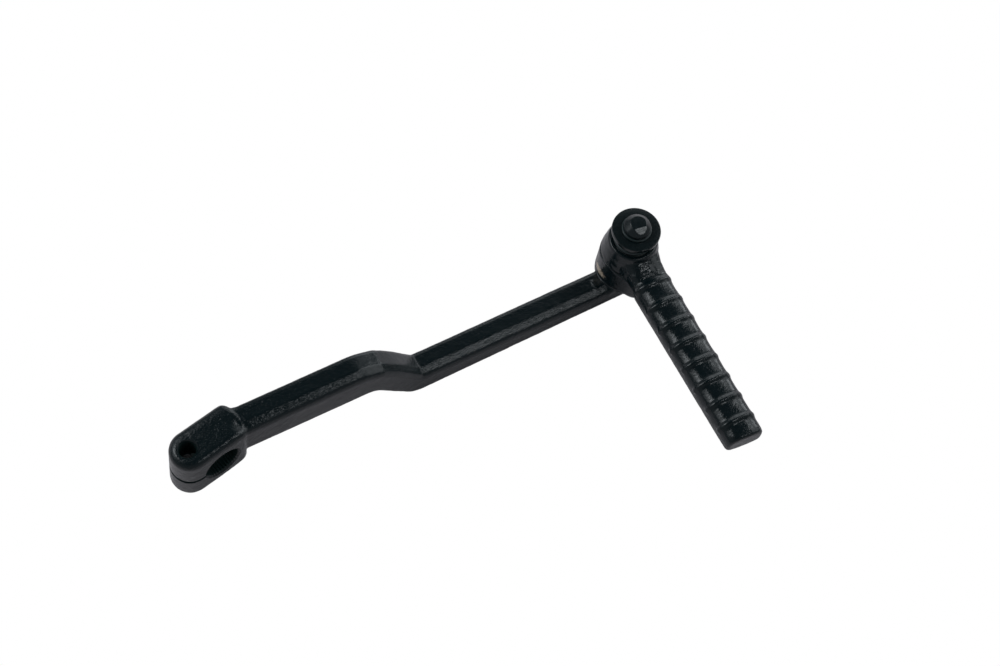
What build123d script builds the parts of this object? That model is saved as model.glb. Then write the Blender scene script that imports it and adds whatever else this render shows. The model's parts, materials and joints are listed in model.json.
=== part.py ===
from build123d import *

import os
from math import cos, radians, sin

# Folding kick-start lever, in millimetres.
# Origin: centre of the splined bore. +Y runs along the bore, +Z along the pivot pin,
# and the arm leaves the clamp head towards +X, swung a little towards -Y.

# ---- driving dimensions -------------------------------------------------------------------
# clamp head
SPLINE_MINOR_RADIUS = 7.1
SPLINE_MAJOR_RADIUS = 7.8
SPLINE_TEETH = 36
SPLINE_GROOVE_MOUTH = 0.74
BORE_CHAMFER = 0.9
HEAD_WIDTH = 17.0
HEAD_HEIGHT = 27.2
HEAD_FREE_END_X = -17.7
HEAD_SHOULDER_X = 14.6
HEAD_SHOULDER_BOW = 2.8
HEAD_DRAW_IN = 1.2
HEAD_CORNER_RADIUS = 3.5
HEAD_EDGE_RADIUS = 3.0
SLIT_WIDTH = 1.6
SLIT_Z = -0.6
PINCH_X = -10.5
THREAD_TAP_RADIUS = 3.4
PINCH_CLEARANCE_RADIUS = 4.25

# arm bar
ARM_SPLAY = -11.65
ARM_SIDE_OFFSET = 0.8
ARM_WIDTH = 12.0
ARM_EDGE_RADIUS = 1.2
ARM_START_X = 4.0
UPPER_BAR_TOP_Z = 12.75
UPPER_BAR_BOTTOM_Z = -5.1
BEND_EASE_X = 64.0
BEND_TOP_START_X = 74.3
BEND_TOP_START_Z = 11.0
BEND_TOP_END_X = 93.8
BEND_BOTTOM_START_X = 70.3
BEND_BOTTOM_END_X = 90.2
BEND_EASE_RADIUS = 30.0
BEND_PEAK_RADIUS = 3.0
BEND_VALLEY_RADIUS = 1.5
BEND_BOTTOM_RADIUS = 8.0
BEND_HEEL_RADIUS = 12.0
BEND_END_TOP_Z = -12.4
BEND_END_BOTTOM_Z = -25.9
BAR_END_TOP_Z = -13.5
BAR_END_BOTTOM_Z = -22.9
PIVOT_DISTANCE = 195.0
PIVOT_SIDE_OFFSET = 3.3

# pivot boss at the arm's end
BOSS_RADIUS = 12.3
BOSS_BOTTOM_Z = -23.0
BOSS_TOP_Z = -0.4
BOSS_DOME_RADIUS = 8.8
LUG_TIP_RADIUS = 8.4
LUG_TIP_REACH = 9.2
LUG_BOTTOM_Z = -16.5
LUG_EDGE_RADIUS = 6.8
STOP_KEY_HEIGHT = 1.8
STOP_KEY_INNER_RADIUS = 7.6
STOP_KEY_OUTER_RADIUS = 10.0
STOP_KEY_ANGLE = 45.0
STOP_KEY_SPREAD = 16.0

# foot pedal
PEDAL_LEAN = -1.2
FOLD_TRAVEL = 90.0
PEDAL_LENGTH = 96.0
PEDAL_WIDTH = 16.0
PEDAL_BOTTOM_Z = -5.3
PEDAL_SIDE_TOP_Z = -2.6
PEDAL_CREST_Z = 5.9
PEDAL_EDGE_RADIUS = 1.4
PEDAL_TIP_RADIUS = 2.2
HUB_BASE_RADIUS = 12.1
HUB_TOP_RADIUS = 10.5
HUB_TOP_Z = 10.4
HUB_SHOULDER_RADIUS = 1.2
ROOT_REACH = 12.0
ROOT_TOP_Z = 1.5
NECK_WIDTH = 9.0
NECK_TOP_Z = 9.6
NECK_REACH = 20.0
RIB_COUNT = 8
RIB_FIRST_REACH = 19.8
RIB_PITCH = 9.73
RIB_WIDTH = 2.4
RIB_HEIGHT = 0.8
RIB_OVERHANG = 0.3

# pin, spring, washer and retaining ring
PIN_RADIUS = 6.0
PIN_BOTTOM_Z = -22.3
PIN_FLARE_RADIUS = 7.2
PIN_FLARE_HEIGHT = 1.5
PIN_TOP_Z = 23.2
PIN_END_RADIUS = 3.65
PIN_END_CHAMFER_HEIGHT = 2.3
WASHER_RADIUS = 10.25
WASHER_BOTTOM_Z = 16.0
WASHER_THICKNESS = 2.0
WASHER_CHAMFER = 0.3
RING_THICKNESS = 1.1
RING_INNER_RADIUS = 5.5
RING_OUTER_RADIUS = 6.9
RING_GAP_ANGLE = 36.0
SPRING_WELL_RADIUS = 8.8
SPRING_WELL_FLOOR_Z = 4.2
SPRING_WIRE_RADIUS = 1.0
SPRING_MEAN_RADIUS = 7.45
SPRING_PITCH = 2.6

# fits
RUNNING_CLEARANCE = 0.05
END_FLOAT = 0.05
LOOSE_CLEARANCE = 0.3
STOP_SLACK_ANGLE = 0.5

# ---- planes -------------------------------------------------------------------------------
splay = radians(ARM_SPLAY)
arm_along = Vector(cos(splay), sin(splay), 0)
arm_across = Vector(-sin(splay), cos(splay), 0)
arm_side = Plane(origin=arm_across * ARM_SIDE_OFFSET, x_dir=arm_along, z_dir=-arm_across)

pivot_point = arm_along * PIVOT_DISTANCE + arm_across * PIVOT_SIDE_OFFSET
pivot_axis = Axis(pivot_point, (0, 0, 1))
pedal_turn = radians(ARM_SPLAY + PEDAL_LEAN)
pedal_across = Vector(cos(pedal_turn), sin(pedal_turn), 0)
pedal_back = Vector(-sin(pedal_turn), cos(pedal_turn), 0)
pivot = Plane(origin=pivot_point, x_dir=pedal_across, z_dir=(0, 0, 1))
pedal_section = Plane(origin=pivot_point, x_dir=pedal_across, z_dir=-pedal_back)
pedal_side = Plane(origin=pivot_point, x_dir=-pedal_back, z_dir=-pedal_across)


def ring_sector(inner, outer, start, size):
    """Outline of a piece of a flat ring round the pivot, for use inside BuildLine."""
    outer_arc = CenterArc((0, 0), outer, start, size)
    inner_arc = CenterArc((0, 0), inner, start, size)
    Line(outer_arc @ 0, inner_arc @ 0)
    Line(outer_arc @ 1, inner_arc @ 1)


# ---- lever arm ----------------------------------------------------------------------------
# The clamp head: rounded free end, sides drawn in slightly towards a bowed shoulder.
head_half = HEAD_WIDTH / 2
free_end_centre_x = HEAD_FREE_END_X + head_half
shoulder_corner_x = HEAD_SHOULDER_X - HEAD_SHOULDER_BOW
with BuildPart() as clamp_head:
    with BuildSketch(Plane.XY.offset(-HEAD_HEIGHT / 2)):
        with BuildLine():
            free_end = ThreePointArc(
                (free_end_centre_x, head_half),
                (HEAD_FREE_END_X, 0),
                (free_end_centre_x, -head_half),
            )
            shoulder = ThreePointArc(
                (shoulder_corner_x, -head_half),
                (HEAD_SHOULDER_X, -HEAD_DRAW_IN / 2),
                (shoulder_corner_x, head_half - HEAD_DRAW_IN),
            )
            Line(free_end @ 1, shoulder @ 0)
            Line(shoulder @ 1, free_end @ 0)
        make_face()
    extrude(amount=HEAD_HEIGHT)
    shoulder_corners = clamp_head.edges().filter_by(Axis.Z).group_by(Axis.X)[-1]
    fillet(shoulder_corners, radius=HEAD_CORNER_RADIUS)
    head_ends = clamp_head.faces().sort_by(Axis.Z)
    fillet(head_ends[0].edges() + head_ends[-1].edges(), radius=HEAD_EDGE_RADIUS)

# The bar, drawn from the side: tall near the head, one double bend, then shallower.
with BuildPart() as arm_bar:
    with BuildSketch(arm_side) as bar_profile:
        with BuildLine():
            Polyline(
                (ARM_START_X, UPPER_BAR_TOP_Z),
                (BEND_EASE_X, UPPER_BAR_TOP_Z),
                (BEND_TOP_START_X, BEND_TOP_START_Z),
                (BEND_TOP_END_X, BEND_END_TOP_Z),
                (PIVOT_DISTANCE, BAR_END_TOP_Z),
                (PIVOT_DISTANCE, BAR_END_BOTTOM_Z),
                (BEND_BOTTOM_END_X, BEND_END_BOTTOM_Z),
                (BEND_BOTTOM_START_X, UPPER_BAR_BOTTOM_Z),
                (ARM_START_X, UPPER_BAR_BOTTOM_Z),
                close=True,
            )
        make_face()
        for corner, bend_radius in (
            ((BEND_EASE_X, UPPER_BAR_TOP_Z), BEND_EASE_RADIUS),
            ((BEND_TOP_START_X, BEND_TOP_START_Z), BEND_PEAK_RADIUS),
            ((BEND_TOP_END_X, BEND_END_TOP_Z), BEND_VALLEY_RADIUS),
            ((BEND_BOTTOM_START_X, UPPER_BAR_BOTTOM_Z), BEND_BOTTOM_RADIUS),
            ((BEND_BOTTOM_END_X, BEND_END_BOTTOM_Z), BEND_HEEL_RADIUS),
        ):
            fillet(bar_profile.vertices().sort_by_distance((*corner, 0))[0], radius=bend_radius)
    extrude(amount=ARM_WIDTH / 2, both=True)
    long_edges = arm_bar.edges().filter_by(lambda edge: abs((edge % 0.5).dot(arm_across)) < 0.5)
    fillet(long_edges, radius=ARM_EDGE_RADIUS)

# The boss: a round eye with a domed underside, and a lug that carries the pedal's root.
with BuildPart() as eye:
    with BuildSketch(pivot.offset(BOSS_BOTTOM_Z)):
        Circle(BOSS_RADIUS)
    extrude(amount=BOSS_TOP_Z - BOSS_BOTTOM_Z)
    fillet(eye.edges().sort_by(Axis.Z)[0], radius=BOSS_DOME_RADIUS)

with BuildPart() as root_lug:
    with BuildSketch(pivot.offset(LUG_BOTTOM_Z)):
        Circle(BOSS_RADIUS)
        with Locations((0, -LUG_TIP_REACH)):
            Circle(LUG_TIP_RADIUS)
        make_hull()
    extrude(amount=BOSS_TOP_Z - LUG_BOTTOM_Z)
    fillet(root_lug.faces().sort_by(Axis.Z)[0].edges(), radius=LUG_EDGE_RADIUS)

with BuildPart() as lever_arm:
    add(clamp_head.part)
    add(arm_bar.part)
    add(eye.part)
    add(root_lug.part)
    # the key that stops the pedal at both ends of its swing
    with BuildSketch(pivot.offset(BOSS_TOP_Z)):
        with BuildLine():
            ring_sector(
                STOP_KEY_INNER_RADIUS,
                STOP_KEY_OUTER_RADIUS,
                STOP_KEY_ANGLE - STOP_KEY_SPREAD / 2,
                STOP_KEY_SPREAD,
            )
        make_face()
    extrude(amount=STOP_KEY_HEIGHT)
    # splined bore, chamfered at both mouths
    with BuildSketch(Plane.XZ.offset(-HEAD_WIDTH)):
        Circle(SPLINE_MINOR_RADIUS)
        with PolarLocations(SPLINE_MINOR_RADIUS, SPLINE_TEETH):
            groove_depth = SPLINE_MAJOR_RADIUS - SPLINE_MINOR_RADIUS
            Polygon(
                (-groove_depth, -SPLINE_GROOVE_MOUTH / 2),
                (groove_depth, 0),
                (-groove_depth, SPLINE_GROOVE_MOUTH / 2),
                align=None,
            )
    extrude(amount=2 * HEAD_WIDTH, mode=Mode.SUBTRACT)
    for mouth_y, inward in ((-head_half, 1), (head_half, -1)):
        mouth = Plane(origin=(0, mouth_y, 0), z_dir=(0, inward, 0))
        with BuildSketch(mouth.offset(-BORE_CHAMFER)):
            Circle(SPLINE_MAJOR_RADIUS + 2 * BORE_CHAMFER)
        with BuildSketch(mouth.offset(2 * BORE_CHAMFER)):
            Circle(SPLINE_MINOR_RADIUS - BORE_CHAMFER)
        loft(mode=Mode.SUBTRACT)
    # slit from the free end into the bore
    with BuildSketch(Plane.XZ.offset(-HEAD_WIDTH)):
        with Locations((HEAD_FREE_END_X, SLIT_Z)):
            Rectangle(-2 * HEAD_FREE_END_X, SLIT_WIDTH)
    extrude(amount=2 * HEAD_WIDTH, mode=Mode.SUBTRACT)
    # pinch-bolt hole: tapped above the slit, clear below it
    with BuildSketch(Plane.XY.offset(SLIT_Z)):
        with Locations((PINCH_X, 0)):
            Circle(THREAD_TAP_RADIUS)
    extrude(amount=HEAD_HEIGHT, mode=Mode.SUBTRACT)
    with BuildSketch(Plane.XY.offset(SLIT_Z)):
        with Locations((PINCH_X, 0)):
            Circle(PINCH_CLEARANCE_RADIUS)
    extrude(amount=-HEAD_HEIGHT, mode=Mode.SUBTRACT)
    # hole for the pivot pin, countersunk below for its flared end
    with BuildSketch(pedal_section):
        with BuildLine():
            Polyline(
                (0, BOSS_BOTTOM_Z - PIN_FLARE_HEIGHT),
                (PIN_FLARE_RADIUS, BOSS_BOTTOM_Z - PIN_FLARE_HEIGHT),
                (PIN_FLARE_RADIUS, PIN_BOTTOM_Z),
                (PIN_RADIUS, PIN_BOTTOM_Z + PIN_FLARE_HEIGHT),
                (PIN_RADIUS, HUB_TOP_Z),
                (0, HUB_TOP_Z),
                close=True,
            )
        make_face()
    revolve(axis=pivot_axis, mode=Mode.SUBTRACT)
lever_arm.part.label = "lever_arm"

# ---- foot pedal ---------------------------------------------------------------------------
pedal_half = PEDAL_WIDTH / 2
hub_bottom_z = BOSS_TOP_Z + END_FLOAT
lug_reach = LUG_TIP_REACH + LUG_TIP_RADIUS
step_radius = lug_reach + 2 * LOOSE_CLEARANCE
with BuildPart() as pedal_peg:
    with BuildSketch(pedal_section):
        with BuildLine():
            Polyline(
                (-pedal_half, PEDAL_SIDE_TOP_Z),
                (-pedal_half, PEDAL_BOTTOM_Z),
                (pedal_half, PEDAL_BOTTOM_Z),
                (pedal_half, PEDAL_SIDE_TOP_Z),
            )
            ThreePointArc(
                (pedal_half, PEDAL_SIDE_TOP_Z), (0, PEDAL_CREST_Z), (-pedal_half, PEDAL_SIDE_TOP_Z)
            )
        make_face()
    extrude(amount=PEDAL_LENGTH)
    underside = pedal_peg.faces().sort_by(Axis.Z)[0]
    fillet(underside.edges().filter_by(Axis(pivot_point, pedal_back)), radius=PEDAL_EDGE_RADIUS)
    tip = pedal_peg.faces().sort_by(Axis(pivot_point, -pedal_back))[-1]
    fillet(tip.edges(), radius=PEDAL_TIP_RADIUS)

with BuildPart() as hub_cone:
    with BuildSketch(pedal_section):
        with BuildLine():
            Polyline(
                (0, hub_bottom_z),
                (HUB_BASE_RADIUS, hub_bottom_z),
                (HUB_TOP_RADIUS, HUB_TOP_Z),
                (0, HUB_TOP_Z),
                close=True,
            )
        make_face()
    revolve(axis=pivot_axis)
    fillet(hub_cone.edges().sort_by(Axis.Z)[-1], radius=HUB_SHOULDER_RADIUS)

with BuildPart() as foot_pedal:
    add(pedal_peg.part)
    # ribs across the tread
    for number in range(RIB_COUNT):
        reach = RIB_FIRST_REACH + number * RIB_PITCH
        with BuildSketch(pedal_section.offset(reach - RIB_WIDTH / 2)):
            with BuildLine():
                rib_arc = ThreePointArc(
                    (pedal_half + RIB_OVERHANG, PEDAL_SIDE_TOP_Z),
                    (0, PEDAL_CREST_Z + RIB_HEIGHT),
                    (-pedal_half - RIB_OVERHANG, PEDAL_SIDE_TOP_Z),
                )
                Line(rib_arc @ 1, rib_arc @ 0)
            make_face()
        extrude(amount=RIB_WIDTH)
    # the peg stops short of the boss and its lug below the hub's seat
    with BuildSketch(pivot.offset(hub_bottom_z)):
        Circle(step_radius)
    extrude(amount=2 * PEDAL_BOTTOM_Z, mode=Mode.SUBTRACT)
    # hub, and the root that spreads from the peg to the hub
    add(hub_cone.part)
    with BuildSketch(pivot.offset(hub_bottom_z)):
        Circle(HUB_BASE_RADIUS)
        with Locations((0, -ROOT_REACH)):
            Circle(pedal_half)
        make_hull()
    extrude(amount=ROOT_TOP_Z - hub_bottom_z)
    # sloping neck between the hub's shoulder and the tread
    with BuildSketch(pedal_side):
        with BuildLine():
            Polyline(
                (HUB_TOP_RADIUS - 2 * HUB_SHOULDER_RADIUS, ROOT_TOP_Z),
                (HUB_TOP_RADIUS - 2 * HUB_SHOULDER_RADIUS, NECK_TOP_Z),
                (NECK_REACH, PEDAL_CREST_Z - RIB_HEIGHT / 2),
                (NECK_REACH, ROOT_TOP_Z),
                close=True,
            )
        make_face()
    extrude(amount=NECK_WIDTH / 2, both=True)
    # running bore and the well that holds the spring
    with BuildSketch(pivot.offset(hub_bottom_z)):
        Circle(PIN_RADIUS + RUNNING_CLEARANCE)
    extrude(amount=HUB_TOP_Z - hub_bottom_z, mode=Mode.SUBTRACT)
    with BuildSketch(pivot.offset(SPRING_WELL_FLOOR_Z)):
        Circle(SPRING_WELL_RADIUS)
    extrude(amount=HUB_TOP_Z - SPRING_WELL_FLOOR_Z, mode=Mode.SUBTRACT)
    # curved slot for the stop key, as long as the pedal's swing
    with BuildSketch(pivot.offset(hub_bottom_z)):
        with BuildLine():
            ring_sector(
                STOP_KEY_INNER_RADIUS - LOOSE_CLEARANCE,
                STOP_KEY_OUTER_RADIUS + LOOSE_CLEARANCE,
                STOP_KEY_ANGLE - STOP_KEY_SPREAD / 2 - STOP_SLACK_ANGLE,
                STOP_KEY_SPREAD + FOLD_TRAVEL + 2 * STOP_SLACK_ANGLE,
            )
        make_face()
    extrude(amount=STOP_KEY_HEIGHT + LOOSE_CLEARANCE, mode=Mode.SUBTRACT)
foot_pedal.part.label = "foot_pedal"

# ---- pivot pin ----------------------------------------------------------------------------
washer_top_z = WASHER_BOTTOM_Z + WASHER_THICKNESS
ring_top_z = washer_top_z + RING_THICKNESS
with BuildPart() as pivot_pin:
    with BuildSketch(pedal_section):
        with BuildLine():
            Polyline(
                (0, PIN_BOTTOM_Z),
                (PIN_FLARE_RADIUS, PIN_BOTTOM_Z),
                (PIN_RADIUS, PIN_BOTTOM_Z + PIN_FLARE_HEIGHT),
                (PIN_RADIUS, washer_top_z),
                (RING_INNER_RADIUS, washer_top_z),
                (RING_INNER_RADIUS, ring_top_z),
                (PIN_RADIUS, ring_top_z),
                (PIN_RADIUS, PIN_TOP_Z - PIN_END_CHAMFER_HEIGHT),
                (PIN_END_RADIUS, PIN_TOP_Z),
                (0, PIN_TOP_Z),
                close=True,
            )
        make_face()
    revolve(axis=pivot_axis)
pivot_pin.part.label = "pivot_pin"

# ---- pedal spring, ends ground flat ---------------------------------------------------------
spring_bottom_z = SPRING_WELL_FLOOR_Z + END_FLOAT
with BuildPart() as pedal_spring:
    with BuildLine(pivot.offset(spring_bottom_z)) as coil:
        Helix(
            pitch=SPRING_PITCH,
            height=WASHER_BOTTOM_Z - spring_bottom_z,
            radius=SPRING_MEAN_RADIUS,
        )
    with BuildSketch(Plane(origin=coil.line @ 0, z_dir=coil.line % 0)):
        Circle(SPRING_WIRE_RADIUS)
    sweep()
    split(bisect_by=pivot.offset(spring_bottom_z), keep=Keep.TOP)
    split(bisect_by=pivot.offset(WASHER_BOTTOM_Z), keep=Keep.BOTTOM)
pedal_spring.part.label = "pedal_spring"

# ---- retaining washer and ring ---------------------------------------------------------------
with BuildPart() as retaining_washer:
    with BuildSketch(pivot.offset(WASHER_BOTTOM_Z)):
        Circle(WASHER_RADIUS)
        Circle(PIN_RADIUS + RUNNING_CLEARANCE, mode=Mode.SUBTRACT)
    extrude(amount=WASHER_THICKNESS)
    rims = retaining_washer.edges().filter_by(GeomType.CIRCLE).group_by(SortBy.RADIUS)[-1]
    chamfer(rims, length=WASHER_CHAMFER)
retaining_washer.part.label = "retaining_washer"

with BuildPart() as retaining_ring:
    with BuildSketch(pivot.offset(washer_top_z)):
        with BuildLine():
            ring_sector(
                RING_INNER_RADIUS,
                RING_OUTER_RADIUS,
                90 + RING_GAP_ANGLE / 2,
                360 - RING_GAP_ANGLE,
            )
        make_face()
    extrude(amount=RING_THICKNESS)
retaining_ring.part.label = "retaining_ring"

# ---- export -----------------------------------------------------------------------------------
os.makedirs("parts", exist_ok=True)
for piece in (lever_arm, foot_pedal, pivot_pin, pedal_spring, retaining_washer, retaining_ring):
    export_step(piece.part, f"parts/{piece.part.label}.step")
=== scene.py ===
import json
from math import atan2, cos, pi, radians, sin, sqrt, tan, tau

import bmesh
import bpy
import numpy as np
from mathutils import Matrix, Vector


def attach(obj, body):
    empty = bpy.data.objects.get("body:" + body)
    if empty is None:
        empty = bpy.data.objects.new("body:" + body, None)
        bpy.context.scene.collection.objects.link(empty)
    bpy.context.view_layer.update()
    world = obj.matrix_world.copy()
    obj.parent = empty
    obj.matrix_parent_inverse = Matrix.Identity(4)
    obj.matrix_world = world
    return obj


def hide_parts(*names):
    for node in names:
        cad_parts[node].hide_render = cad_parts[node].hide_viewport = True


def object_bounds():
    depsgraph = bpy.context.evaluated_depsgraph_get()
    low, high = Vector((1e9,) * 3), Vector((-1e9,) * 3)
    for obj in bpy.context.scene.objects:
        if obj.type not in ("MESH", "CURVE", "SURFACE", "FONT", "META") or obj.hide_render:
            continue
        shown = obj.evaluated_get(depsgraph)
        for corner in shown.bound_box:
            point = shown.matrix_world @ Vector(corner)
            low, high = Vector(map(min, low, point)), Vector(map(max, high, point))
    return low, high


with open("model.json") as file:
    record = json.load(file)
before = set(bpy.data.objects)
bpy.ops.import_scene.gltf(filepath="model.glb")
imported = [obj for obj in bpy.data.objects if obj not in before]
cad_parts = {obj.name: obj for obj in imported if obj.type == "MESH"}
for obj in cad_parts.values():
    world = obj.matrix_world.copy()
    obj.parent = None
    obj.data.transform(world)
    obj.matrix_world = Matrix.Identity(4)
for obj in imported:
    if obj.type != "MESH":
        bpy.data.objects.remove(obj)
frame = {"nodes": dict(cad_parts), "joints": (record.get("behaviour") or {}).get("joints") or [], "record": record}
cad_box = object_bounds()
record = frame["record"]
scene = bpy.context.scene
MM = 0.001

# ---- places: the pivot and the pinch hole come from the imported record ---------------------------
joint = frame["joints"][0]
pivot = np.array(joint["pos_m"]) / MM
pivot_xy = pivot[:2]
mounts = {mount["name"]: mount for mount in record["mounts"]}
pinch_x = mounts["pinch_thread"]["pos_m"][0] / MM
# the arm's direction from +X, and how far the pedal leans from square to the arm
ARM_SPLAY = radians(-11.65)
PEDAL_LEAN = radians(-1.2)
along = np.array([cos(ARM_SPLAY), sin(ARM_SPLAY)])
across = np.array([-sin(ARM_SPLAY), cos(ARM_SPLAY)])
pedal_turn = ARM_SPLAY + PEDAL_LEAN
pedal_right = np.array([cos(pedal_turn), sin(pedal_turn)])
pedal_out = np.array([sin(pedal_turn), -cos(pedal_turn)])
# the boss's top and the hub's underside, which turn on each other
BOSS_TOP_Z = -0.45
HUB_BOTTOM_Z = -0.28


# ---- mesh helpers (all lengths in millimetres until an object is made) -------------------------
def smoothstep(low, high, value):
    t = np.clip((value - low) / (high - low), 0, 1)
    return t * t * (3 - 2 * t)


NOISE_CELLS = 32


def lattice_noise(points, cell, seed):
    """Smooth random values between -1 and 1 that change over about one cell."""
    table = np.random.default_rng(seed).uniform(-1, 1, (NOISE_CELLS, NOISE_CELLS, NOISE_CELLS))
    scaled = points / cell + 100.0
    whole = np.floor(scaled).astype(int)
    part = scaled - whole
    part = part * part * (3 - 2 * part)
    total = np.zeros(len(points))
    for corner in np.ndindex(2, 2, 2):
        corner = np.array(corner)
        index = (whole + corner) % NOISE_CELLS
        weight = np.prod(np.where(corner == 1, part, 1 - part), axis=1)
        total += weight * table[index[:, 0], index[:, 1], index[:, 2]]
    return total


def forging_texture(points, *layers):
    """The unevenness of a forged skin: a sum of noises, each a (height, cell, seed)."""
    return sum(height * lattice_noise(points, cell, seed) for height, cell, seed in layers)


def make_object(name, vertices, faces):
    mesh = bpy.data.meshes.new(name)
    mesh.from_pydata((np.asarray(vertices) * MM).tolist(), [], [list(f) for f in faces])
    mesh.update()
    item = bpy.data.objects.new(name, mesh)
    scene.collection.objects.link(item)
    return item


def read_vertices(item):
    co = np.empty(len(item.data.vertices) * 3)
    item.data.vertices.foreach_get("co", co)
    return co.reshape(-1, 3) / MM


def write_vertices(item, vertices):
    item.data.vertices.foreach_set("co", (vertices * MM).ravel())
    item.data.update()


def read_normals(item):
    normals = np.empty(len(item.data.vertices) * 3)
    item.data.vertices.foreach_get("normal", normals)
    return normals.reshape(-1, 3)


def bake_modifiers(item):
    bpy.context.view_layer.update()
    shaped = item.evaluated_get(bpy.context.evaluated_depsgraph_get())
    mesh = bpy.data.meshes.new_from_object(shaped)
    item.modifiers.clear()
    item.data = mesh
    return item


def remove(item):
    bpy.data.objects.remove(item)


def remesh(item, voxel):
    modifier = item.modifiers.new("voxels", "REMESH")
    modifier.mode = "VOXEL"
    modifier.voxel_size = voxel * MM
    return bake_modifiers(item)


def smooth(item, rounds, factor=0.5):
    modifier = item.modifiers.new("smooth", "SMOOTH")
    modifier.factor = factor
    modifier.iterations = rounds
    return bake_modifiers(item)


def cut(item, cutter):
    modifier = item.modifiers.new("cut", "BOOLEAN")
    modifier.operation = "DIFFERENCE"
    modifier.solver = "EXACT"
    modifier.object = cutter
    bake_modifiers(item)
    remove(cutter)
    return item


def joined(name, items):
    """One object holding the meshes of several, which are removed."""
    whole = bmesh.new()
    for item in items:
        whole.from_mesh(item.data)
        remove(item)
    mesh = bpy.data.meshes.new(name)
    whole.to_mesh(mesh)
    whole.free()
    result = bpy.data.objects.new(name, mesh)
    scene.collection.objects.link(result)
    return result


def face_outward(item):
    """Turn the faces of a closed piece to point out of it."""
    shell = bmesh.new()
    shell.from_mesh(item.data)
    bmesh.ops.recalc_face_normals(shell, faces=shell.faces)
    shell.to_mesh(item.data)
    shell.free()


def rings(name, loops):
    """A closed skin over a list of equal-length vertex loops, capped at both ends."""
    count = len(loops[0])
    vertices = np.concatenate(loops)
    faces = []
    for level in range(len(loops) - 1):
        for i in range(count):
            a = level * count + i
            b = level * count + (i + 1) % count
            faces.append((a, b, b + count, a + count))
    faces.append(tuple(reversed(range(count))))
    faces.append(tuple((len(loops) - 1) * count + i for i in range(count)))
    item = make_object(name, vertices, faces)
    face_outward(item)
    return item


def level_loop(centre, radius, angle, z):
    """A loop of points round an upright axis, at one height."""
    x = centre[0] + radius * np.cos(angle)
    y = centre[1] + radius * np.sin(angle)
    return np.stack([x, y, np.full(len(angle), z)], 1)


def bore_loop(radius, angle, y):
    """A loop of points round the splined bore's axis, which is Y, at one depth."""
    return np.stack([radius * np.cos(angle), np.full(len(angle), y), radius * np.sin(angle)], 1)


def turned(name, profile, centre=(0, 0), steps=96):
    """A lathe piece about +Z from (radius, z) pairs."""
    angle = np.linspace(0, tau, steps, endpoint=False)
    return rings(name, [level_loop(centre, radius, angle, z) for radius, z in profile])


def copy_of_node(node):
    item = bpy.data.objects.new(node + "_copy", frame["nodes"][node].data.copy())
    scene.collection.objects.link(item)
    return item


def arm_frame(points):
    """Distance along the arm and across it."""
    return points[:, :2] @ along, points[:, :2] @ across


def pivot_frame(points):
    """Distance to the pedal's right, out along the pedal, and from the pivot axis."""
    flat = points[:, :2] - pivot_xy
    return flat @ pedal_right, flat @ pedal_out, np.hypot(flat[:, 0], flat[:, 1])


def soft_shading(item, angle=40):
    item.data.shade_smooth()
    item.data.set_sharp_from_angle(angle=radians(angle))


# ---- lever arm ---------------------------------------------------------------------------------
ARM_VOXEL = 0.35
HEAD_HALF_DEPTH = 8.5
# the head's plan from its free end to its full depth, as (x, half depth)
HEAD_END = ((-17.6, 1.2), (-17.2, 2.6), (-16.2, 4.6), (-14.6, 6.4), (-12.4, 7.78), (-9.2, HEAD_HALF_DEPTH))
BAR_OFFSET = 0.8  # the bar's middle line lies this far behind the arm's line
BEND_CORNER = 74.0
BOSS_RIDGE = 178.7
BOSS_FLAT_RADIUS = 18.5
PIN_FLARE_RADIUS = 7.6
SPLINE_TEETH = 36
SPLINE_TIP_RADIUS, SPLINE_DEPTH = 7.15, 0.72
SLIT_LOW, SLIT_HIGH = -1.4, 0.2
THREAD_PITCH = 1.25
THREAD_RADIUS, THREAD_DEPTH = 3.42, 0.62
CLEARANCE_RADIUS = 4.25


def arm_blank():
    """The CAD arm with its holes and slit filled up, as one even skin of small faces."""
    angle = np.linspace(0, tau, 64, endpoint=False)
    bore_plug = rings("bore_plug", [bore_loop(8.6, angle, y) for y in (-HEAD_HALF_DEPTH, HEAD_HALF_DEPTH)])
    slit_plug = rings(
        "slit_plug",
        [
            np.array([(x, y, -2.5), (x, y, 1.5), (x, -y, 1.5), (x, -y, -2.5)])
            for x, y in (*HEAD_END, (0, HEAD_HALF_DEPTH))
        ],
    )
    pinch_plug = turned("pinch_plug", [(5.2, -13.6), (5.2, 13.6)], (pinch_x, 0), 48)
    pin_profile = [(PIN_FLARE_RADIUS, -23.0), (PIN_FLARE_RADIUS, -3), (6.4, -1), (6.4, -0.5)]
    pin_plug = turned("pin_plug", pin_profile, pivot_xy, 64)
    pieces = [copy_of_node("lever_arm"), bore_plug, slit_plug, pinch_plug, pin_plug]
    return remesh(joined("lever_arm_forging", pieces), ARM_VOXEL)


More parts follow.
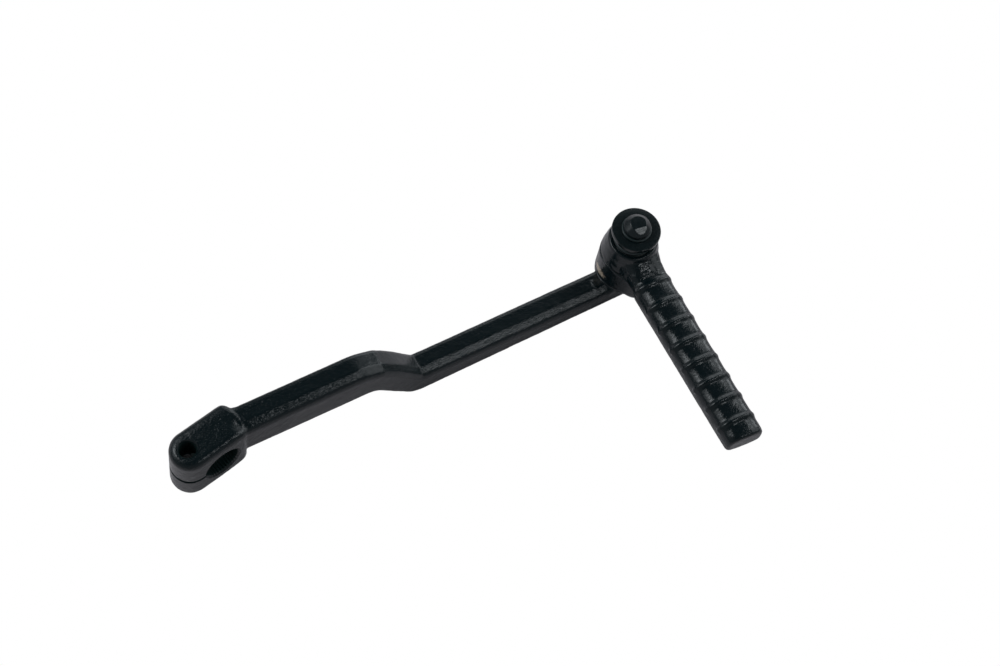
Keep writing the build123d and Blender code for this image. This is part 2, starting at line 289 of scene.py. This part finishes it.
def sculpt_arm(points):
    """Move the skin's points, in place, from plain machined faces to the forging's own."""
    reach, side = arm_frame(points)
    z = points[:, 2]
    bar_weight = smoothstep(12.5, 15.0, reach) * (1 - smoothstep(181, 188, reach))
    bar_side = side - BAR_OFFSET
    bar_middle = np.interp(reach, [73.0, 92.0, 195.0], [3.9, -18.8, -18.0])
    upward = smoothstep(-2, 5, z - bar_middle)

    # the bar's top: a sloped band at the back, a flat, and a facet falling away in front of a ridge
    front_fall = 0.42 * np.clip(-1.6 - bar_side, 0, None) + 0.55 * np.clip(-4.8 - bar_side, 0, None)
    back_fall = 0.40 * np.clip(bar_side - 4.1, 0, None)
    points[:, 2] -= bar_weight * (front_fall + back_fall) * upward

    # a short forging ridge across the top, just before the boss
    ridge = np.exp(-(((reach - BOSS_RIDGE) / 0.9) ** 2)) * smoothstep(-2.4, -1.2, bar_side)
    ridge *= 1 - smoothstep(1.4, 2.6, bar_side)
    points[:, 2] += 0.55 * ridge * upward

    # the lower bar is a little narrower next to the bend
    narrow = bar_weight * smoothstep(75, 95, reach) * (1 - smoothstep(95, 185, reach))
    points[:, :2] -= np.outer(narrow * 0.5 * np.clip(bar_side / 6, 0, 1), across)

    # the head's top falls away behind a crease and next to the bar; its underside mirrors it
    head_weight = 1 - smoothstep(11.0, 15.0, points[:, 0])
    head_fall = np.clip(points[:, 1] - 4.2 - 0.05 * points[:, 0], 0, None) * 0.10
    front_half = 1 - smoothstep(-4.0, 1.0, points[:, 1])
    head_fall += 0.05 * front_half * np.clip(points[:, 0] - 6.5, 0, 5.0) ** 2
    points[:, 2] -= head_weight * head_fall * np.sign(z) * smoothstep(5, 10, np.abs(z))

    # the upper corner of the double bend is rolled over on top
    from_corner = abs(reach - BEND_CORNER)
    roll = np.interp(from_corner, [0, 1, 2, 4, 6, 8, 10, 12], [1.9, 1.75, 1.5, 0.95, 0.5, 0.2, 0.05, 0])
    points[:, 2] -= bar_weight * roll * upward

    # the free end is drawn back on its far side, and the far shoulder stands out a little
    points[:, 0] += (0.045 * points[:, 1] - 0.15) * smoothstep(8, 14, -points[:, 0])
    shoulder = 0.75 * head_weight * smoothstep(2, 8, points[:, 1])
    points[:, 1] += shoulder * np.clip((points[:, 0] + 8) / 18, 0, 1)


def roughen_arm(arm):
    """Give the arm its forged skin, and leave the boss's seat flat."""
    points = read_vertices(arm)
    texture = forging_texture(points, (0.030, 0.95, 1), (0.035, 2.6, 2), (0.06, 9.0, 3))
    points += read_normals(arm) * texture[:, None]
    _, _, from_pivot = pivot_frame(points)
    seat = from_pivot < BOSS_FLAT_RADIUS
    points[seat, 2] = np.minimum(points[seat, 2], BOSS_TOP_Z)
    write_vertices(arm, points)


def cut_bore(arm):
    """The splined bore, with a 45 degree chamfer at each mouth."""
    angle = np.linspace(0, tau, SPLINE_TEETH * 8, endpoint=False)
    wave = np.abs((angle * SPLINE_TEETH / tau + 0.5) % 1 - 0.5) * 2
    tooth_radius = SPLINE_TIP_RADIUS + SPLINE_DEPTH * np.clip(1.25 * wave - 0.2, 0, 1)
    depths = (-10, -8.55, -7.7, -6.9, 6.9, 7.7, 8.55, 10)
    cut(arm, rings("bore_cutter", [bore_loop(np.maximum(tooth_radius, abs(y)), angle, y) for y in depths]))


def cut_slit(arm):
    """The slit from the head's free end into the bore."""
    corners = ((-12, SLIT_LOW), (12, SLIT_LOW), (12, SLIT_HIGH), (-12, SLIT_HIGH))
    cut(arm, rings("slit_cutter", [np.array([(x, y, z) for y, z in corners]) for x in (-24, -4)]))


def cut_pinch_hole(arm):
    """The pinch bolt's hole: plain below the slit, threaded above it, opening out at the top."""
    angle = np.linspace(0, tau, 48, endpoint=False)
    loops = []
    for z in np.arange(-16, 15.6, THREAD_PITCH / 8):
        if z < -0.8:
            radius = np.full(len(angle), CLEARANCE_RADIUS)
        else:
            phase = np.abs((z / THREAD_PITCH - angle / tau) % 1 - 0.5) * 2
            radius = np.maximum(THREAD_RADIUS + THREAD_DEPTH * phase, 4.05 + (z - 13.45))
        loops.append(level_loop((pinch_x, 0), radius, angle, z))
    cut(arm, rings("pinch_cutter", loops))


def machined(middle):
    """Which faces, by their middles, lie in the bore, the pinch hole or the slit."""
    in_bore = (np.hypot(middle[:, 0], middle[:, 2]) < 7.95) & (np.abs(middle[:, 1]) < HEAD_HALF_DEPTH)
    in_pinch = (np.hypot(middle[:, 0] - pinch_x, middle[:, 1]) < 4.3) & (np.abs(middle[:, 2]) < 13.0)
    in_slit = (np.abs(middle[:, 2] + 0.6) < 0.9) & (middle[:, 0] < -4) & (np.abs(middle[:, 1]) < 7.8)
    return in_bore | in_pinch | in_slit


def second_material_on(item, inside):
    """Put the second material on the faces whose middles pass a test."""
    middle = np.empty(len(item.data.polygons) * 3)
    item.data.polygons.foreach_get("center", middle)
    chosen = inside(middle.reshape(-1, 3) / MM)
    item.data.polygons.foreach_set("material_index", chosen.astype(np.int32))
    item.data.update()


arm = arm_blank()
arm_points = read_vertices(arm)
sculpt_arm(arm_points)
write_vertices(arm, arm_points)
smooth(arm, 6)
roughen_arm(arm)
cut_bore(arm)
cut_slit(arm)
cut_pinch_hole(arm)
recess = [(PIN_FLARE_RADIUS, -26), (PIN_FLARE_RADIUS, -23.0), (7.25, -22.3)]
cut(arm, turned("pin_recess_cutter", recess, pivot_xy, 64))
soft_shading(arm)

# ---- foot pedal ----------------------------------------------------------------------------------
PEDAL_VOXEL = 0.24
PEDAL_LENGTH = 96.0
RIB_FIRST, RIB_PITCH, RIB_COUNT = 19.8, 9.73, 8
RIB_HEIGHT, RIB_HALF_WIDTH = 0.85, 1.15
ARCH_POWER = 0.78  # 1 is an ellipse; less is squarer
HUB_PROFILE = [
    (11.8, HUB_BOTTOM_Z), (12.15, 0.1), (12.1, 1.0), (11.3, 6.0),
    (10.55, 9.5), (10.2, 10.1), (9.8, 10.38), (9.0, 10.4),
]
WELL_PROFILE = [(6.05, -3), (6.05, 4.2), (8.65, 4.21), (8.65, 10.25), (8.8, 10.38), (8.8, 14)]
# the curved slot under the hub, in which the boss's key runs
SLOT_RADII = (7.3, 10.3)
KEY_START, SLOT_SLACK, SLOT_SWEEP = radians(37), radians(0.5), radians(107)


def pedal_section(out):
    """Half width, underside, side height and crest of the pedal at a distance from the pivot."""
    tip = [94.0, 95.3, 95.8, PEDAL_LENGTH]
    half = np.interp(out, [4, 8, 12, 17, *tip], [10.3, 9.2, 8.2, 8.3, 8.3, 8.05, 7.6, 7.0])
    under = np.interp(out, [18.0, 18.6, 19.4, 20.0, *tip], [-0.3, -2.4, -4.0, -4.5, -4.5, -4.3, -3.9, -3.4])
    shoulder = np.interp(out, [4, 18, 22, 93, PEDAL_LENGTH], [1.4, 0.4, -0.7, -0.7, -0.8])
    crest_places = [4, 9.5, 13, 17, 93.6, 95.2, 95.8, PEDAL_LENGTH]
    crest = np.interp(out, crest_places, [9.8, 8.9, 7.4, 5.8, 5.8, 5.5, 4.9, 4.2])
    return half, under, shoulder, crest


def pedal_loop(out):
    """A cross section of the pedal: an arched top with its ribs, straight sides and a flat underside."""
    half, under, shoulder, crest = pedal_section(out)
    rib_places = [RIB_FIRST + number * RIB_PITCH for number in range(RIB_COUNT)]
    rib = max(RIB_HEIGHT * np.exp(-abs((out - place) / RIB_HALF_WIDTH) ** 2.2) for place in rib_places)
    # the surface rises a little towards each rib, so that the bays between are shallow hollows
    swell = 0.05 * (1 + cos(tau * (out - RIB_FIRST) / RIB_PITCH)) * smoothstep(16, 20, out)
    swell *= 1 - smoothstep(89, 91, out)

    turn = np.linspace(0, pi, 72)
    arc_x = half * np.sign(np.cos(turn)) * np.abs(np.cos(turn)) ** ARCH_POWER
    arc_z = shoulder + (crest - shoulder) * np.sin(turn) ** ARCH_POWER
    # the ribs are lower on the pedal's right, and run out at the straight sides
    rib_round = rib * (1 - 0.55 * smoothstep(0.3, 0.9, np.cos(turn)))
    lift = smoothstep(0.02, 0.25, np.sin(turn)) * (rib_round + swell)
    arc_x = arc_x + np.cos(turn) * lift
    arc_z = arc_z + np.sin(turn) * lift

    corner = 1.2 if under < -1 else 0.2
    down = np.linspace(0, pi / 2, 6)
    left_x = -half + corner * (1 - np.cos(down))
    left_z = under + corner * (1 - np.sin(down))
    xs = np.concatenate([arc_x, left_x, -left_x[::-1]])
    zs = np.concatenate([arc_z, left_z, left_z[::-1]])
    # the sides have a forging's draft: they lean in towards the underside
    draft = 0.3 * np.clip((shoulder - zs) / (shoulder - under + 0.01), 0, 1) * smoothstep(17, 21, out)
    xs = xs - np.sign(xs) * draft
    flat = pivot_xy + np.outer(xs, pedal_right) + out * pedal_out
    return np.column_stack([flat, zs])


def pedal_blank():
    """The hub, neck and peg as one even skin of small faces."""
    stations = np.concatenate([np.arange(2.0, 95.0, 0.3), np.arange(95.0, PEDAL_LENGTH + 0.01, 0.1)])
    peg = rings("peg", [pedal_loop(out) for out in stations])
    hub = turned("hub", HUB_PROFILE, pivot_xy)
    return smooth(remesh(joined("foot_pedal_forging", [peg, hub]), PEDAL_VOXEL), 4)


def roughen_pedal(pedal):
    """Dome the tip, give the pedal its forged skin, and keep the hub clear of the boss."""
    points = read_vertices(pedal)
    right, out, from_pivot = pivot_frame(points)
    dome = (0.05 * right + 0.1 + 0.4 * (1 - (right / 8) ** 2)) * smoothstep(90, PEDAL_LENGTH, out)
    points[:, :2] += np.outer(dome, pedal_out)
    texture = forging_texture(points, (0.022, 0.9, 11), (0.04, 2.2, 12), (0.06, 7.0, 13))
    # the neck is the roughest, with marks that lie flatter than they are wide
    neck = smoothstep(9.5, 11.5, from_pivot) * (1 - smoothstep(17, 19, out)) * smoothstep(2, 4, out)
    flat_marks = lattice_noise(points * [1, 1, 1.6], 2.1, 14)
    texture += neck * (0.16 * flat_marks + 0.05 * lattice_noise(points, 0.8, 15))
    points += read_normals(pedal) * texture[:, None]
    over_boss = from_pivot < 17.4
    points[over_boss, 2] = np.maximum(points[over_boss, 2], HUB_BOTTOM_Z)
    write_vertices(pedal, points)


def cut_stop_slot(pedal):
    """The curved slot under the hub."""
    angle = pedal_turn + KEY_START - SLOT_SLACK + np.linspace(0, SLOT_SWEEP, 40)
    loops = []
    for z in (-2.0, 1.75):
        inner = level_loop(pivot_xy, SLOT_RADII[0], angle, z)
        outer = level_loop(pivot_xy, SLOT_RADII[1], angle[::-1], z)
        loops.append(np.concatenate([inner, outer]))
    cut(pedal, rings("slot_cutter", loops))


pedal = pedal_blank()
roughen_pedal(pedal)
cut(pedal, turned("well_cutter", WELL_PROFILE, pivot_xy))
cut_stop_slot(pedal)
soft_shading(pedal)

# ---- pin, washer and ring --------------------------------------------------------------------------
PIN_TOP_Z = 23.2
PIN_PROFILE = [
    (7.1, -22.3), (7.15, -22.2), (6.0, -20.8), (6.0, 17.9), (5.5, 18.0), (5.5, 19.15), (5.6, 19.3),
    (5.68, 20.5), (5.6, 20.85), (5.4, 21.15), (3.75, 22.85), (3.5, 23.08), (3.25, 23.19), (3.05, PIN_TOP_Z),
]
FACET_TILT = radians(28.5)
FACET_START = 2.2  # how far from the pin's axis the facet leaves the top


def cut_facet(pin):
    """Slice one flat facet off the front of the pin's top."""
    aim = -0.14 * along - 0.99 * across
    normal = Vector((*(aim * sin(FACET_TILT)), cos(FACET_TILT)))
    point = Vector((*(pivot_xy + FACET_START * aim), PIN_TOP_Z)) * MM
    mesh = bmesh.new()
    mesh.from_mesh(pin.data)
    geometry = mesh.verts[:] + mesh.edges[:] + mesh.faces[:]
    bmesh.ops.bisect_plane(mesh, geom=geometry, plane_co=point, plane_no=normal, clear_outer=True)
    bmesh.ops.holes_fill(mesh, edges=[edge for edge in mesh.edges if edge.is_boundary])
    mesh.to_mesh(pin.data)
    mesh.free()


pin = turned("pivot_pin_turned", PIN_PROFILE, pivot_xy, 128)
cut_facet(pin)
soft_shading(pin, 9)


def flat_ring(name, inner, outer, low, high, round_edge, gap=None):
    """A washer, or an open ring when a gap angle pair is given, with rounded outer edges."""
    corner = np.linspace(0, pi / 2, 5)
    rim = outer - round_edge
    section = [(inner, low)]
    section += [(rim + round_edge * sin(a), low + round_edge - round_edge * cos(a)) for a in corner]
    section += [(rim + round_edge * cos(a), high - round_edge + round_edge * sin(a)) for a in corner]
    section += [(inner + 0.1, high), (inner, high - 0.1)]
    closed = gap is None
    turn = np.linspace(0, tau, 128, endpoint=False) if closed else np.linspace(gap[1], gap[0] + tau, 96)
    vertices = []
    for a in turn:
        for radius, z_level in section:
            vertices.append((pivot[0] + radius * cos(a), pivot[1] + radius * sin(a), z_level))
    count = len(section)
    faces = []
    for i in range(len(turn) if closed else len(turn) - 1):
        j = (i + 1) % len(turn)
        for k in range(count):
            m = (k + 1) % count
            faces.append((i * count + k, j * count + k, j * count + m, i * count + m))
    if not closed:
        faces.append(tuple(range(count)))
        faces.append(tuple(reversed(range((len(turn) - 1) * count, len(turn) * count))))
    item = make_object(name, vertices, faces)
    face_outward(item)
    soft_shading(item, 35)
    return item


washer = flat_ring(
    "retaining_washer_turned", inner=6.05, outer=10.25, low=16.0, high=18.0, round_edge=0.35
)
RING_GAP_MIDDLE, RING_GAP_HALF = 90, 18
ring_gap = [pedal_turn + radians(RING_GAP_MIDDLE + half) for half in (-RING_GAP_HALF, RING_GAP_HALF)]
ring = flat_ring(
    "retaining_ring_wire", inner=5.55, outer=6.3, low=18.03, high=19.1, round_edge=0.4, gap=ring_gap
)

# ---- materials -----------------------------------------------------------------------------------
def new_material(name):
    material = bpy.data.materials.new(name)
    material.use_nodes = True
    return material, material.node_tree.nodes, material.node_tree.links


def add_noise(nodes, links, coordinates, size_mm, detail=2.0, roughness=0.5):
    noise = nodes.new("ShaderNodeTexNoise")
    noise.inputs["Scale"].default_value = 1 / (size_mm * MM)
    noise.inputs["Detail"].default_value = detail
    noise.inputs["Roughness"].default_value = roughness
    links.new(coordinates, noise.inputs["Vector"])
    return noise


def add_range(nodes, links, value, low, high, to_low, to_high):
    scale = nodes.new("ShaderNodeMapRange")
    scale.inputs["From Min"].default_value = low
    scale.inputs["From Max"].default_value = high
    scale.inputs["To Min"].default_value = to_low
    scale.inputs["To Max"].default_value = to_high
    links.new(value, scale.inputs["Value"])
    return scale.outputs["Result"]


def paint(name, dark, light, roughness, peel_mm, peel_depth):
    """Thick black paint: mottled colour, uneven gloss and orange peel."""
    material, nodes, links = new_material(name)
    shader = nodes["Principled BSDF"]
    where = nodes.new("ShaderNodeTexCoord").outputs["Object"]
    mottle = add_noise(nodes, links, where, 2.5, 3)
    mix = nodes.new("ShaderNodeMix")
    mix.data_type = "RGBA"
    mix.inputs["A"].default_value = (*dark, 1)
    mix.inputs["B"].default_value = (*light, 1)
    links.new(mottle.outputs["Fac"], mix.inputs["Factor"])
    links.new(mix.outputs["Result"], shader.inputs["Base Color"])
    gloss = add_noise(nodes, links, where, 1.2, 3)
    uneven = add_range(nodes, links, gloss.outputs["Fac"], 0.35, 0.65, *roughness)
    links.new(uneven, shader.inputs["Roughness"])
    peel = add_noise(nodes, links, where, peel_mm, 2, 0.55)
    bump = nodes.new("ShaderNodeBump")
    bump.inputs["Strength"].default_value = 1.0
    bump.inputs["Distance"].default_value = peel_depth * MM
    links.new(peel.outputs["Fac"], bump.inputs["Height"])
    links.new(bump.outputs["Normal"], shader.inputs["Normal"])
    shader.inputs["IOR"].default_value = 1.48
    return material


# name: darkest colour, lightest colour, roughness range, peel size and peel depth in mm
PAINTS = {
    "forging_paint": ((0.0025, 0.0075, 0.0095), (0.005, 0.0115, 0.014), (0.10, 0.22), 0.65, 0.125),
    "pedal_paint": ((0.0025, 0.0075, 0.0095), (0.005, 0.0115, 0.014), (0.12, 0.24), 0.8, 0.10),
    "pin_paint": ((0.004, 0.009, 0.011), (0.007, 0.013, 0.015), (0.14, 0.24), 0.5, 0.02),
    "washer_paint": ((0.003, 0.008, 0.009), (0.006, 0.012, 0.014), (0.14, 0.24), 0.6, 0.02),
    # the coat in the holes: a duller finish, kept weak in shine so that it also paints in the shade inside them
    "bore_coat_and_painted_shade": ((0.004, 0.013, 0.013), (0.009, 0.022, 0.022), (0.5, 0.7), 0.4, 0.02),
    # the spring's paint is lighter than the other black paints, as painted light on the spring in the shaded gap
    # under the washer; the ring shares it
    "spring_paint_with_painted_light": ((0.014, 0.026, 0.028), (0.022, 0.036, 0.038), (0.3, 0.45), 0.4, 0.02),
}
paints = {name: paint(name, *look) for name, look in PAINTS.items()}
# the thin coat in the machined bores hardly shines, and is kept this dull as painted shade for the dark inside of
# the holes
bore_shader = paints["bore_coat_and_painted_shade"].node_tree.nodes["Principled BSDF"]
bore_shader.inputs["Specular IOR Level"].default_value = 0.12


WEAR_ANGLE = radians(173)
WEAR_RADIUS, WEAR_Z = 12.3, -9.9
WEAR_HALF_RUN, WEAR_HALF_HEIGHT, WEAR_HALF_DEPTH = 4.0, 1.9, 2.5
PRIMER = (0.50, 0.41, 0.31)


def add_worn_patch(material):
    """Paint rubbed through to a pale primer, in a ragged oval on the side of the pivot boss."""
    outward = cos(WEAR_ANGLE) * along + sin(WEAR_ANGLE) * across
    centre = np.array([*(pivot_xy + WEAR_RADIUS * outward), WEAR_Z])
    run = np.array([-outward[1], outward[0], 0])
    inward = np.array([run[1], -run[0], 0])

    nodes, links = material.node_tree.nodes, material.node_tree.links
    where = nodes.new("ShaderNodeTexCoord").outputs["Object"]
    offset = nodes.new("ShaderNodeVectorMath")
    offset.operation = "SUBTRACT"
    offset.inputs[1].default_value = centre * MM
    links.new(where, offset.inputs[0])
    oval = nodes.new("ShaderNodeCombineXYZ")
    for axis, direction, half_size in (
        ("X", run, WEAR_HALF_RUN),
        ("Y", np.cross(run, inward), WEAR_HALF_HEIGHT),
        ("Z", inward, WEAR_HALF_DEPTH),
    ):
        measure = nodes.new("ShaderNodeVectorMath")
        measure.operation = "DOT_PRODUCT"
        measure.inputs[1].default_value = direction / (half_size * MM)
        links.new(offset.outputs["Vector"], measure.inputs[0])
        links.new(measure.outputs["Value"], oval.inputs[axis])
    size = nodes.new("ShaderNodeVectorMath")
    size.operation = "LENGTH"
    links.new(oval.outputs["Vector"], size.inputs[0])
    ragged = nodes.new("ShaderNodeMath")
    ragged.operation = "ADD"
    links.new(size.outputs["Value"], ragged.inputs[0])
    speckle = add_noise(nodes, links, where, 0.8, 3)
    links.new(add_range(nodes, links, speckle.outputs["Fac"], 0.3, 0.7, -0.4, 0.4), ragged.inputs[1])
    mask = add_range(nodes, links, ragged.outputs["Value"], 0.8, 1.15, 1.0, 0.0)
    shader = nodes["Principled BSDF"]
    paint_colour = shader.inputs["Base Color"].links[0].from_socket
    mix = nodes.new("ShaderNodeMix")
    mix.data_type = "RGBA"
    mix.inputs["B"].default_value = (*PRIMER, 1)
    links.new(mask, mix.inputs["Factor"])
    links.new(paint_colour, mix.inputs["A"])
    links.new(mix.outputs["Result"], shader.inputs["Base Color"])


add_worn_patch(paints["forging_paint"])


def dress(item, material):
    item.data.materials.clear()
    item.data.materials.append(material)


for item, material, body, node, slot in (
    (arm, "forging_paint", "arm", "lever_arm", "gloss_black_paint"),
    (pedal, "pedal_paint", "pedal", "foot_pedal", "gloss_black_paint"),
    (pin, "pin_paint", "arm", "pivot_pin", "black_pin_finish"),
    (washer, "washer_paint", "arm", "retaining_washer", "black_pin_finish"),
    (ring, "spring_paint_with_painted_light", "arm", "retaining_ring", "dark_spring_steel"),
):
    dress(item, paints[material])
    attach(item, body)
    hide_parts(node)
# the spring wears the lightened paint, which paints light into the shaded gap under the washer
dress(frame["nodes"]["pedal_spring"], paints["spring_paint_with_painted_light"])
# the bore, pinch hole and slit take the dull coat, which also serves as painted shade inside them
arm.data.materials.append(paints["bore_coat_and_painted_shade"])
second_material_on(arm, machined)

# ---- camera --------------------------------------------------------------------------------
CAMERA_AT = Vector((-0.19793, -0.26808, 0.77750))
CAMERA_RIGHT = Vector((0.751048, -0.650572, 0.112617))
CAMERA_UP = Vector((0.548543, 0.709767, 0.441962))
camera_data = bpy.data.cameras.new("camera")
camera_data.sensor_width = 36.0
camera_data.lens = 77.16
camera_data.clip_start = 0.01
camera = bpy.data.objects.new("camera", camera_data)
scene.collection.objects.link(camera)
camera_axes = Matrix((CAMERA_RIGHT, CAMERA_UP, CAMERA_RIGHT.cross(CAMERA_UP))).transposed()
camera.matrix_world = Matrix.Translation(CAMERA_AT) @ camera_axes.to_4x4()
scene.camera = camera

# ---- floor and world: plain white to the camera, dim to every other ray -----------------------
def show_to_camera(nodes, links, seen, usual, surface):
    """Feed a surface with one shader for camera rays and another for the rest."""
    rays = nodes.new("ShaderNodeLightPath")
    blend = nodes.new("ShaderNodeMixShader")
    links.new(rays.outputs["Is Camera Ray"], blend.inputs["Fac"])
    links.new(usual, blend.inputs[1])
    links.new(seen, blend.inputs[2])
    links.new(blend.outputs["Shader"], surface)


FLOOR_HALF_SIZE = 3 / MM
floor_z = cad_box[0][2] / MM
floor_paper, nodes, links = new_material("floor_paper")
shader = nodes["Principled BSDF"]
shader.inputs["Base Color"].default_value = (0.88, 0.82, 0.84, 1)
shader.inputs["Roughness"].default_value = 0.9
white = nodes.new("ShaderNodeEmission")
white.inputs["Strength"].default_value = 1.0
surface = nodes["Material Output"].inputs["Surface"]
show_to_camera(nodes, links, white.outputs["Emission"], shader.outputs["BSDF"], surface)
corner_signs = ((-1, -1), (1, -1), (1, 1), (-1, 1))
corners = [(x * FLOOR_HALF_SIZE, y * FLOOR_HALF_SIZE, floor_z) for x, y in corner_signs]
floor = make_object("floor", corners, [(0, 1, 2, 3)])
floor.data.materials.append(floor_paper)

world = bpy.data.worlds.new("world")
scene.world = world
world.use_nodes = True
nodes, links = world.node_tree.nodes, world.node_tree.links
dim = nodes["Background"]
dim.inputs["Color"].default_value = (0.9, 0.96, 1, 1)
height = nodes.new("ShaderNodeSeparateXYZ")
links.new(nodes.new("ShaderNodeTexCoord").outputs["Generated"], height.inputs["Vector"])
links.new(add_range(nodes, links, height.outputs["Z"], 0.5, 0.9, 0.22, 0.05), dim.inputs["Strength"])
bright = nodes.new("ShaderNodeBackground")
bright.inputs["Color"].default_value = (1, 1, 1, 1)
surface = nodes["World Output"].inputs["Surface"]
show_to_camera(nodes, links, bright.outputs["Background"], dim.outputs["Background"], surface)

# ---- lights ----------------------------------------------------------------------------------
# the lights stand about the object; their places are tilts from straight up, to the right and back
LIGHTS_AIM = Vector((0.09, -0.03, 0))
LIGHT_RIGHT = Vector((0.755, -0.655, 0))
LIGHT_BACK = Vector((0.655, 0.755, 0))


def softbox(name, tilt_right, tilt_back, spread_right, spread_back, radiance, distance=0.8):
    """A panel facing the object; its place and half size are degrees away from straight up."""
    tilt = radians(sqrt(tilt_right ** 2 + tilt_back ** 2))
    turn = atan2(tilt_back, tilt_right)
    away = sin(tilt) * (cos(turn) * LIGHT_RIGHT + sin(turn) * LIGHT_BACK) + Vector((0, 0, cos(tilt)))
    light = bpy.data.lights.new(name, "AREA")
    light.shape = "RECTANGLE"
    light.size = 2 * distance * tan(radians(spread_right))
    light.size_y = 2 * distance * tan(radians(spread_back))
    light.energy = radiance * light.size * light.size_y * pi
    light.color = (0.92, 0.97, 1.0)
    edge = LIGHT_BACK.cross(away).normalized()
    item = bpy.data.objects.new(name, light)
    scene.collection.objects.link(item)
    axes = Matrix((edge, away.cross(edge), away)).transposed()
    item.matrix_world = Matrix.Translation(LIGHTS_AIM + away * distance) @ axes.to_4x4()


softbox("right_box", 54, 24, 20, 22, 0.85)
softbox("right_inner", 37, 23, 6, 8, 2.2, 0.76)
softbox("right_far", 57, 50, 8, 8, 2.4, 0.76)
softbox("front_box", 31, -13, 6, 4, 6.0, 0.74)
softbox("left_box", -46, 12, 22, 26, 0.9)
softbox("left_hot", -38, 14, 12, 12, 2.9, 0.76)
softbox("back_low", 15, 74, 24, 13, 1.1)
softbox("back_high", 8, 49, 14, 9, 0.4)

scene.view_settings.view_transform = "Standard"
